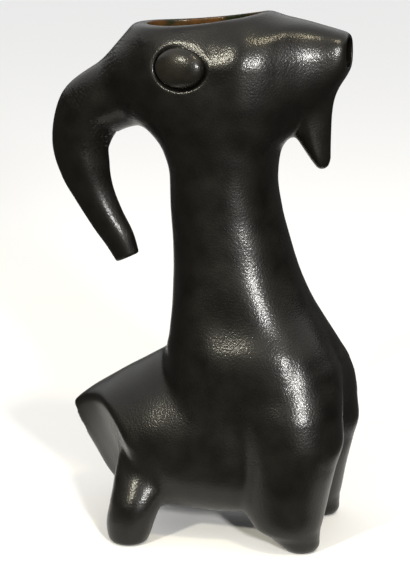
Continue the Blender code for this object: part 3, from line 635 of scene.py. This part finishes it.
def eye_frame(side):
    """The middle of an eye on the cheek, and the directions along the cheek and out of it."""
    back, front, half_width = [float(v[0]) for v in read_rows(TRUNK, np.array([NECK_TOP_Z + EYE_LEVEL]))]
    half_length = (front - back) / 2
    from_mid = EYE_X - (front + back) / 2
    cheek = half_width * (1 - (abs(from_mid) / half_length) ** FORM_POWER) ** (1 / FORM_POWER)
    slope_x = math.copysign((abs(from_mid) / half_length) ** (FORM_POWER - 1) / half_length, from_mid)
    slope_y = (cheek / half_width) ** (FORM_POWER - 1) / half_width
    out = np.array([slope_x, side * slope_y, 0.0]) / math.hypot(slope_x, slope_y)
    along = np.array([-out[1], out[0], 0.0])
    return np.array([EYE_X, side * cheek, NECK_TOP_Z + EYE_LEVEL + EYE_RISE]), along, out


EYES_LOW = (EYE_X - 0.03, -0.08, NECK_TOP_Z + EYE_LEVEL - 0.03)
EYES_HIGH = (EYE_X + 0.03, 0.08, NECK_TOP_Z + EYE_LEVEL + 0.03)


@within(EYES_LOW, EYES_HIGH)
def socket_field(points):
    """Both sockets."""
    middle, along, out = eye_frame(1)
    off = on_left(points) - middle
    half_length, half_height = EYE_HALF_LENGTH + EYE_GROOVE, EYE_HALF_HEIGHT + EYE_GROOVE
    ring = from_section(off @ along, off[:, 2], half_length, half_height, ELLIPSE_POWER)
    return keep(ring, -(off @ out) - EYE_SINK, SOCKET_ROUND)


def rim_field(points):
    """Height over the rim, which leans forward and dips on its two sides."""
    length = MOUTH_FRONT_X - MOUTH_BACK_X
    slope = math.atan2(MOUTH_FRONT_RISE - MOUTH_BACK_RISE, length)
    x = points[:, 0] - MOUTH_BACK_X - length / 2
    z = points[:, 2] - NECK_TOP_Z - (MOUTH_BACK_RISE + MOUTH_FRONT_RISE) / 2
    return z * math.cos(slope) - x * math.sin(slope) + MOUTH_DIP * (points[:, 1] / MOUTH_HALF_WIDTH) ** 2


def hand_wobble(points):
    """The slight unevenness of a surface smoothed by hand."""
    waves = [
        ((61, 23, 117), 0.4), ((-83, 97, 41), 1.7), ((37, -128, 71), 2.9), ((141, 53, -66), 4.1),
        ((-47, 171, 158), 0.9), ((203, -89, 121), 3.3),
    ]
    return sum(np.sin(points @ np.array(wave) + phase) for wave, phase in waves) * WOBBLE


def neck_softness(x, z):
    """How softly the neck flows into the body: most beside its base, less behind it and by the front legs."""
    level = eased(z, BACK_Z - 0.040, BACK_Z - 0.002) * (1 - eased(z, BACK_Z + 0.006, BACK_Z + 0.036))
    beside = between(NECK_BLEND_LOW_SHARE, 1.0, level) * eased(x, NECK_BACK_X, NECK_BACK_X + 0.035)
    below = 1 - eased(z, BACK_Z - 0.030, BACK_Z + 0.002)
    crease = eased(x, SHOULDER_X - 0.046, SHOULDER_X - 0.026) * below
    chest = eased(x, SHOULDER_X - 0.004, SHOULDER_X + 0.014)
    return between(NECK_BLEND_BACK, NECK_BLEND_SIDE, beside * (1 - CREASE_SHARE * crease) * (1 - chest))


def measure(points):
    """The distances from all forms, from the clay's skin and from the hollow inside, at the given points."""
    points = points - (SHIFT_X, 0, 0)
    x, y, z = points.T
    body, trunk, long_muzzle = body_field(points), trunk_field(points), muzzle_field(points)
    horn, beard = horn_field(points), beard_field(points)
    front, rear = front_legs_field(points), rear_legs_field(points)
    muzzle = keep(long_muzzle, x - MUZZLE_TIP_X, TIP_ROUND)
    neck_blend = neck_softness(x, z)
    over_shoulder = eased(z, SHOULDER_Z + 0.040, SHOULDER_Z + 0.070)
    shoulder_blend = between(SHOULDER_BLEND, SHOULDER_BLEND_TOP, over_shoulder)
    clay = join(join(trunk, front, shoulder_blend), body, neck_blend)
    out_of_head = eased(x, MUZZLE_ROOT_X - MUZZLE_INSET, MUZZLE_ROOT_X - 0.004)
    muzzle_blend = between(MUZZLE_BLEND_BACK, MUZZLE_BLEND, out_of_head)
    clay = join(clay, muzzle, muzzle_blend)
    clay = join(clay, horn, HORN_BLEND)
    clay = join(clay, beard, BEARD_BLEND)
    clay = join(clay, rear, REAR_LEG_BLEND)
    clay = keep(clay + hand_wobble(points), -z, FOOT_ROUND)
    lip_z = NECK_TOP_Z + MOUTH_BACK_RISE
    wall = np.minimum(
        np.interp(z, (lip_z - LIP_TAPER, lip_z), (WALL, MOUTH_WALL)),
        np.interp(x, (HEAD_FRONT_X, MUZZLE_TIP_X), (WALL, MUZZLE_TIP_WALL)),
    )
    hollow = join(join(trunk, body, neck_blend), long_muzzle, muzzle_blend) + wall
    skin = keep(clay, -hollow, LIP_ROUND)
    skin = keep(skin, rim_field(points), LIP_ROUND)
    skin = keep(skin, -socket_field(points), SOCKET_ROUND)
    return {
        "skin": skin, "hollow": hollow, "body": body, "trunk": trunk, "muzzle": muzzle, "horn": horn,
        "beard": beard, "front": front, "rear": rear, "y": y, "z": z,
    }


# Where one piece of clay ends and the next begins, negative inside the piece

def legs_seam(fields, pair):
    carrier = np.minimum(fields["body"], fields["trunk"])
    return np.maximum(np.maximum(fields[pair], 0) - carrier, fields["z"] - LEG_TOP_Z)


def no_legs(fields):
    return -np.minimum(legs_seam(fields, "front"), legs_seam(fields, "rear"))


def over_body(fields):
    return np.maximum(fields["trunk"], 0) - fields["body"]


def horn_seam(fields):
    return np.maximum(fields["horn"], 0) - fields["trunk"]


def muzzle_seam(fields):
    return np.maximum(fields["muzzle"], 0) - fields["trunk"]


def beard_seam(fields):
    return np.maximum(fields["beard"], 0) - np.minimum(fields["muzzle"], fields["trunk"])


def biggest(*values):
    return np.maximum.reduce(values)


SEAMS = {
    "body_shell": lambda fields: biggest(-over_body(fields), no_legs(fields)),
    "neck": lambda fields: biggest(
        over_body(fields), no_legs(fields), fields["z"] - NECK_TOP_Z, -horn_seam(fields)),
    "head_shell": lambda fields: biggest(
        NECK_TOP_Z - fields["z"], -horn_seam(fields), -muzzle_seam(fields), -beard_seam(fields)),
    "muzzle_spout": lambda fields: biggest(
        muzzle_seam(fields), -beard_seam(fields), NECK_TOP_Z - fields["z"]),
    "horn_handle": horn_seam,
    "beard": beard_seam,
    "front_right_leg": lambda fields: biggest(legs_seam(fields, "front"), fields["y"]),
    "front_left_leg": lambda fields: biggest(legs_seam(fields, "front"), -fields["y"]),
    "rear_right_leg": lambda fields: biggest(legs_seam(fields, "rear"), fields["y"]),
    "rear_left_leg": lambda fields: biggest(legs_seam(fields, "rear"), -fields["y"]),
}


# Cutting the clay into meshes

def in_chunks(function, points, size=200000):
    parts = [function(points[k:k + size]) for k in range(0, len(points), size)]
    return [np.concatenate(column) for column in zip(*parts)]


def skin_and_seam(name):
    seam = SEAMS[name]

    def both(points):
        fields = measure(points)
        return fields["skin"], seam(fields)
    return both


def sampled(both, low, counts):
    """Skin and seam on a grid, worked out only near the surface of the piece."""
    shape = np.array(counts) * BLOCK + 1
    blocks = np.stack(np.meshgrid(*[np.arange(n) for n in counts], indexing="ij"), axis=-1).reshape(-1, 3)
    middles = low + (blocks + 0.5) * BLOCK * CELL
    skin, seam = in_chunks(both, middles)
    at = np.maximum(skin, seam)
    near = np.abs(at) < BLOCK * CELL * NEAR_SHARE
    grids = []
    for values in (skin, seam):
        coarse = values.reshape(counts)
        for axis in range(3):
            coarse = np.repeat(coarse, BLOCK, axis=axis)
        grids.append(np.pad(coarse, ((0, 1), (0, 1), (0, 1)), mode="edge"))
    wanted = np.zeros(shape, bool)
    for i, j, k in blocks[near] * BLOCK:
        wanted[i:i + BLOCK + 1, j:j + BLOCK + 1, k:k + BLOCK + 1] = True
    spots = np.argwhere(wanted)
    fine_skin, fine_seam = in_chunks(both, low + spots * CELL)
    grids[0][wanted] = fine_skin
    grids[1][wanted] = fine_seam
    return grids


CORNERS = np.array([(i, j, k) for i in (0, 1) for j in (0, 1) for k in (0, 1)])
EDGES = [(a, b) for a in range(8) for b in range(a + 1, 8) if np.abs(CORNERS[a] - CORNERS[b]).sum() == 1]


def corner_values(grid, cells):
    return np.stack([grid[tuple((cells + corner).T)] for corner in CORNERS], axis=1)


def surface_net(skin, seam, low):
    """Points, four-sided faces and the points on the piece's sharp seam edge."""
    grid = np.maximum(skin, seam)
    filled = grid < 0
    total = np.zeros(np.array(grid.shape) - 1, int)
    for i, j, k in CORNERS:
        total += filled[i:grid.shape[0] - 1 + i, j:grid.shape[1] - 1 + j, k:grid.shape[2] - 1 + k]
    cells = np.argwhere((total > 0) & (total < 8))
    values = corner_values(grid, cells)
    places, crossings = np.zeros((len(cells), 3)), np.zeros(len(cells))
    for a, b in EDGES:
        crossed = (values[:, a] < 0) != (values[:, b] < 0)
        share = values[crossed, a] / (values[crossed, a] - values[crossed, b])
        places[crossed] += CORNERS[a] + np.outer(share, CORNERS[b] - CORNERS[a])
        crossings[crossed] += 1
    points = low + (cells + places / crossings[:, None]) * CELL
    edge = np.ones(len(cells), bool)
    for field in (skin, seam):
        signs = corner_values(field, cells) < 0
        edge &= signs.any(axis=1) & ~signs.all(axis=1)
    number = np.full(total.shape, -1)
    number[tuple(cells.T)] = np.arange(len(cells))
    faces = []
    for axis in range(3):
        u, v = [np.eye(3, dtype=int)[(axis + step) % 3] for step in (1, 2)]
        head = [slice(1, -1)] * 3
        tail = [slice(1, -1)] * 3
        head[axis] = slice(0, -1)
        tail[axis] = slice(1, None)
        start, end = filled[tuple(head)], filled[tuple(tail)]
        base = np.argwhere(start != end) + 1
        base[:, axis] -= 1
        out = start[start != end]
        ring = [number[tuple((base - step).T)] for step in (u + v, v, np.zeros(3, int), u)]
        quads = np.stack(ring, axis=1)
        faces.append(np.where(out[:, None], quads, quads[:, ::-1]))
    return points, np.concatenate(faces), edge


def slopes(function, points, here, step=0.0001):
    """The gradients of the fields that a function gives, whose values at the points are known."""
    columns = []
    for axis in range(3):
        move = np.zeros(3)
        move[axis] = step
        ahead = in_chunks(function, points + move)
        columns.append([(a - b) / step for a, b in zip(ahead, here)])
    return [np.stack(parts, axis=1) for parts in zip(*columns)]


def smoothed(points, faces, edge):
    """The points moved halfway to the middle of their neighbours, apart from those on the seam edge."""
    count = len(points)
    totals, ties = np.zeros((count, 3)), np.zeros(count)
    for a, b in ((0, 1), (1, 2), (2, 3), (3, 0)):
        for here, there in ((a, b), (b, a)):
            for axis in range(3):
                totals[:, axis] += np.bincount(faces[:, here], points[faces[:, there], axis], count)
            ties += np.bincount(faces[:, here], minlength=count)
    moved = points + 0.5 * (totals / np.maximum(ties, 1)[:, None] - points)
    return np.where(edge[:, None], points, moved)


def settled(both, points, edge):
    """The points set on the surface, and those on the seam edge on skin and seam at once, in two steps."""
    for _ in range(2):
        skin, seam = in_chunks(both, points)
        skin_slope, seam_slope = slopes(both, points, (skin, seam))
        on_skin = (skin >= seam)[:, None]
        value = np.where(on_skin[:, 0], skin, seam)
        slope = np.where(on_skin, skin_slope, seam_slope)
        step = -slope * (value / np.maximum((slope**2).sum(axis=1), LEAST_SLOPE))[:, None]
        a = (skin_slope**2).sum(axis=1) + SMALL
        b = (skin_slope * seam_slope).sum(axis=1)
        c = (seam_slope**2).sum(axis=1) + SMALL
        spread = np.maximum(a * c - b * b, LEAST_SPREAD)
        to_edge = -(skin_slope * ((c * skin - b * seam) / spread)[:, None]
                    + seam_slope * ((a * seam - b * skin) / spread)[:, None])
        step = np.where(edge[:, None], to_edge, step)
        size = np.linalg.norm(step, axis=1)[:, None]
        points = points + step * np.minimum(1, STEP_SHARE * CELL / np.maximum(size, TINY))
    return points


def add_piece(name, points, faces, normals=None):
    mesh = bpy.data.meshes.new(name)
    mesh.from_pydata(points, [], faces)
    mesh.shade_smooth()
    obj = bpy.data.objects.new(name, mesh)
    bpy.context.scene.collection.objects.link(obj)
    if normals is not None:
        mesh.normals_split_custom_set(normals)
    return obj


def add_clay(name, node):
    """The visible piece for a CAD node, parted from the clay of the whole."""
    both = skin_and_seam(node)
    low, high = [np.array(corner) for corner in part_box(node)]
    low = low - PIECE_MARGIN
    counts = tuple(int(n) for n in np.ceil((high + PIECE_MARGIN - low) / (BLOCK * CELL)))
    skin, seam = sampled(both, low, counts)
    points, faces, edge = surface_net(skin, seam, low)
    points = settled(both, smoothed(points, faces, edge), edge)
    skin_slope = slopes(both, points, in_chunks(both, points))[0]
    skin_slope /= np.linalg.norm(skin_slope, axis=1)[:, None] + TINY
    corners = points[faces]
    middle_skin, middle_seam = in_chunks(both, corners.mean(axis=1))
    flat = np.cross(corners[:, 2] - corners[:, 0], corners[:, 3] - corners[:, 1])
    flat /= np.linalg.norm(flat, axis=1)[:, None] + TINY
    shows = middle_skin >= middle_seam
    normals = np.where(shows[:, None, None], skin_slope[faces], flat[:, None, :])
    obj = add_piece(name, points.tolist(), faces.tolist(), normals.reshape(-1, 3))
    from_hollow, along = in_chunks(lambda p: [measure(p)["hollow"], p[:, 0] - SHIFT_X], points)
    inner = np.clip((INNER_EDGE - from_hollow) / INNER_FADE, 0, 1)
    inner = inner * (1 - eased(along, MOUTH_FRONT_X, HEAD_FRONT_X))
    attribute = obj.data.attributes.new("inside", "FLOAT", "POINT")
    attribute.data.foreach_set("value", inner.astype(np.float32))
    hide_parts(node)
    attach(obj, "root")
    return obj


def add_eye(name, node, side):
    """A domed pellet in its socket."""
    middle, along, out = eye_frame(side)
    middle = middle + (SHIFT_X, 0, 0)
    sides, rings = 64, 18
    profile = [(-EYE_SINK, 0.90), (-EYE_SINK, 0.955), (-EYE_SINK * 0.75, 0.995), (-EYE_SINK * 0.35, 1.0)]
    for turn in np.linspace(0, math.pi / 2, rings):
        profile.append((EYE_BULGE * math.sin(turn), math.cos(turn)))
    points = [middle - out * EYE_SINK]
    half_length, half_height = EYE_HALF_LENGTH + GLAZE_FILL, EYE_HALF_HEIGHT + GLAZE_FILL
    for height, share in profile[:-1]:
        for turn in np.arange(sides) * 2 * math.pi / sides:
            across = along * (half_length * share * math.cos(turn))
            up = np.array((0, 0, half_height * share * math.sin(turn)))
            points.append(middle + out * height + across + up)
    points.append(middle + out * EYE_BULGE)
    ring_count = len(profile) - 1
    faces = []
    for ring in range(ring_count - 1):
        for k in range(sides):
            here, after = 1 + ring * sides + k, 1 + ring * sides + (k + 1) % sides
            faces.append((here, after, after + sides, here + sides))
    last = 1 + (ring_count - 1) * sides
    for k in range(sides):
        faces.append((0, 1 + (k + 1) % sides, 1 + k))
        faces.append((last + k, last + (k + 1) % sides, len(points) - 1))
    obj = add_piece(name, np.array(points).tolist(), faces)
    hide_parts(node)
    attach(obj, "root")
    return obj


# Materials

def add_node(tree, kind, values=None):
    """A new node with the given values on its inputs."""
    node = tree.nodes.new(kind)
    for name, value in (values or {}).items():
        node.inputs[name].default_value = value
    return node


def add_ramp(tree, places, colours):
    """A ramp from one colour to another."""
    node = tree.nodes.new("ShaderNodeValToRGB")
    for stop, place, colour in zip(node.color_ramp.elements, places, colours):
        stop.position = place
        stop.color = (*colour, 1.0)
    return node


def add_math(tree, operation, *terms):
    """The outcome of a sum, from numbers and other nodes' outputs."""
    node = tree.nodes.new("ShaderNodeMath")
    node.operation = operation
    for socket, term in zip(node.inputs, terms):
        if isinstance(term, float):
            socket.default_value = term
        else:
            tree.links.new(term, socket)
    return node.outputs["Value"]


def add_range(tree, value, start, end, low=0.0, high=1.0, kind="LINEAR"):
    """A value's share of the way from start to end, set between low and high."""
    limits = {"From Min": start, "From Max": end, "To Min": low, "To Max": high}
    node = add_node(tree, "ShaderNodeMapRange", limits)
    node.interpolation_type = kind
    tree.links.new(value, node.inputs["Value"])
    return node.outputs["Result"]


def black_glaze(name, roughness, painted_sheen_lift):
    """A black satin glaze with the fine unevenness of a sprayed coat, and amber and green in the hollow."""
    material = bpy.data.materials.new(name)
    material.use_nodes = True
    tree = material.node_tree
    shader = tree.nodes["Principled BSDF"]
    shader.inputs["Specular IOR Level"].default_value = 0.19
    shader.inputs["Coat Weight"].default_value = 0.28
    shader.inputs["Coat Roughness"].default_value = 0.16
    place = add_node(tree, "ShaderNodeTexCoord")
    fine = add_node(tree, "ShaderNodeTexNoise", {"Scale": 900.0, "Detail": 3.0})
    cloud = add_node(tree, "ShaderNodeTexNoise", {"Scale": 70.0, "Detail": 4.0})
    for noise in (fine, cloud):
        tree.links.new(place.outputs["Object"], noise.inputs["Vector"])
    bump = add_node(tree, "ShaderNodeBump", {"Strength": 0.5, "Distance": 0.0003})
    tree.links.new(fine.outputs["Fac"], bump.inputs["Height"])
    tree.links.new(bump.outputs["Normal"], shader.inputs["Normal"])
    tree.links.new(bump.outputs["Normal"], shader.inputs["Coat Normal"])
    # The lift factor lightens the glaze's colour; above 1 it is painted sheen.
    outer = [[part * painted_sheen_lift for part in colour] for colour in (OUTER_DARK, OUTER_LIGHT)]
    tint = add_ramp(tree, (0.35, 0.70), outer)
    amber = add_ramp(tree, (0.35, 0.62), (INNER_GREEN, INNER_AMBER))
    for ramp in (tint, amber):
        tree.links.new(cloud.outputs["Fac"], ramp.inputs["Fac"])
    inside = add_node(tree, "ShaderNodeAttribute")
    inside.attribute_name = "inside"
    mix = add_node(tree, "ShaderNodeMix")
    mix.data_type = "RGBA"
    tree.links.new(inside.outputs["Fac"], mix.inputs["Factor"])
    tree.links.new(tint.outputs["Color"], mix.inputs["A"])
    tree.links.new(amber.outputs["Color"], mix.inputs["B"])
    tree.links.new(mix.outputs["Result"], shader.inputs["Base Color"])
    rough = add_range(tree, cloud.outputs["Fac"], 0.3, 0.7, roughness - 0.05, roughness + 0.05)
    tree.links.new(rough, shader.inputs["Roughness"])
    return material


# The pieces
wall_glaze = black_glaze("wall_glaze", 0.40, 1.0)
limb_glaze = black_glaze("limb_glaze", 0.40, 1.0)
# The eyes' glaze is the same glaze with its colour made 2.5 times lighter: painted sheen for the soft
# overhead light on the eye domes.
eye_glaze = black_glaze("eye_glaze", 0.36, 2.5)

for node in SEAMS:
    piece = add_clay("clay_" + node, node)
    slot = "wall_glaze" if node in ("body_shell", "neck", "head_shell", "muzzle_spout") else "limb_glaze"
    piece.data.materials.append(wall_glaze if slot == "wall_glaze" else limb_glaze)

for node, side in (("right_eye", -1), ("left_eye", 1)):
    piece = add_eye("clay_" + node, node, side)
    piece.data.materials.append(eye_glaze)


# Floor, light and camera

def add_floor():
    """A dark floor with white paper on it where the camera looks."""
    bpy.ops.mesh.primitive_plane_add(size=FLOOR_SIZE)
    floor = bpy.context.object
    floor.name = "floor"
    material = bpy.data.materials.new("floor")
    material.use_nodes = True
    tree = material.node_tree
    shader = tree.nodes["Principled BSDF"]
    shader.inputs["Roughness"].default_value = 0.9
    place = add_node(tree, "ShaderNodeTexCoord")
    turned = add_node(tree, "ShaderNodeMapping", {"Rotation": (0.0, 0.0, -math.radians(CAMERA_AZIMUTH))})
    tree.links.new(place.outputs["Object"], turned.inputs["Vector"])
    apart = add_node(tree, "ShaderNodeSeparateXYZ")
    tree.links.new(turned.outputs["Vector"], apart.inputs["Vector"])
    across, away = apart.outputs["X"], apart.outputs["Y"]
    aside = add_math(tree, "ABSOLUTE", across)
    spread = add_math(tree, "MULTIPLY_ADD", away, -PAPER_WIDENING, aside)
    strip = add_range(tree, spread, *PAPER_SIDE_EDGE, kind="SMOOTHSTEP")
    level = add_range(tree, away, *PAPER_LEVELS_AT, *PAPER_LEVELS)
    near = add_range(tree, away, *PAPER_NEAR_EDGE, kind="SMOOTHSTEP")
    paper = add_math(tree, "MULTIPLY", near, add_math(tree, "MULTIPLY", strip, level))
    shade = add_ramp(tree, (0.0, 1.0), (FLOOR_DARK, FLOOR_WHITE))
    tree.links.new(paper, shade.inputs["Fac"])
    tree.links.new(shade.outputs["Color"], shader.inputs["Base Color"])
    floor.data.materials.append(material)


def way_to(azimuth, elevation):
    """The direction from the pitcher's middle to a place, its azimuth to the right of the camera's."""
    turn = math.radians(azimuth + CAMERA_AZIMUTH)
    rise = math.radians(elevation)
    return Vector((math.sin(turn) * math.cos(rise), -math.cos(turn) * math.cos(rise), math.sin(rise)))


def aim_from(name, data, way, distance):
    """A lamp or a camera that looks at the pitcher's middle."""
    obj = bpy.data.objects.new(name, data)
    obj.location = AIM + way * distance
    obj.rotation_euler = (-way).to_track_quat("-Z", "Y").to_euler()
    bpy.context.scene.collection.objects.link(obj)
    return obj


def add_lamp(name, azimuth, elevation, size, tall, power, colour):
    """A soft lamp, taller than wide by the given factor."""
    data = bpy.data.lights.new(name, "AREA")
    data.shape = "ELLIPSE"
    data.size = size
    data.size_y = size * tall
    data.energy = power
    data.color = colour
    aim_from(name, data, way_to(azimuth, elevation), LAMP_DISTANCE)


def add_sun(name, azimuth, elevation, angle, strength):
    """Light from far away and from all over a wide angle."""
    data = bpy.data.lights.new(name, "SUN")
    data.angle = math.radians(angle)
    data.energy = strength
    aim_from(name, data, way_to(azimuth, elevation), LAMP_DISTANCE)


add_floor()
add_lamp("right", 17.0, 16.0, 0.10, 1.6, 16.0, (1.0, 0.99, 0.96))
add_lamp("left", -36.0, 30.0, 0.11, 1.0, 10.0, (1.0, 0.95, 0.78))
add_lamp("warm", 30.0, 56.0, 0.15, 1.0, 5.0, (1.0, 0.88, 0.60))
add_sun("overhead", 180.0, 75.0, 130.0, 2.6)

world = bpy.data.worlds.new("world")
world.use_nodes = True
bpy.context.scene.world = world
world.node_tree.nodes["Background"].inputs["Color"].default_value = (1.0, 1.0, 1.0, 1.0)
world.node_tree.nodes["Background"].inputs["Strength"].default_value = WORLD_LIGHT

camera_data = bpy.data.cameras.new("camera")
camera_data.sensor_width = CAMERA_SENSOR
camera_data.lens = CAMERA_LENS
camera = aim_from("camera", camera_data, way_to(0.0, CAMERA_PITCH), CAMERA_DISTANCE)
bpy.context.scene.camera = camera
bpy.context.scene.view_settings.view_transform = "Standard"
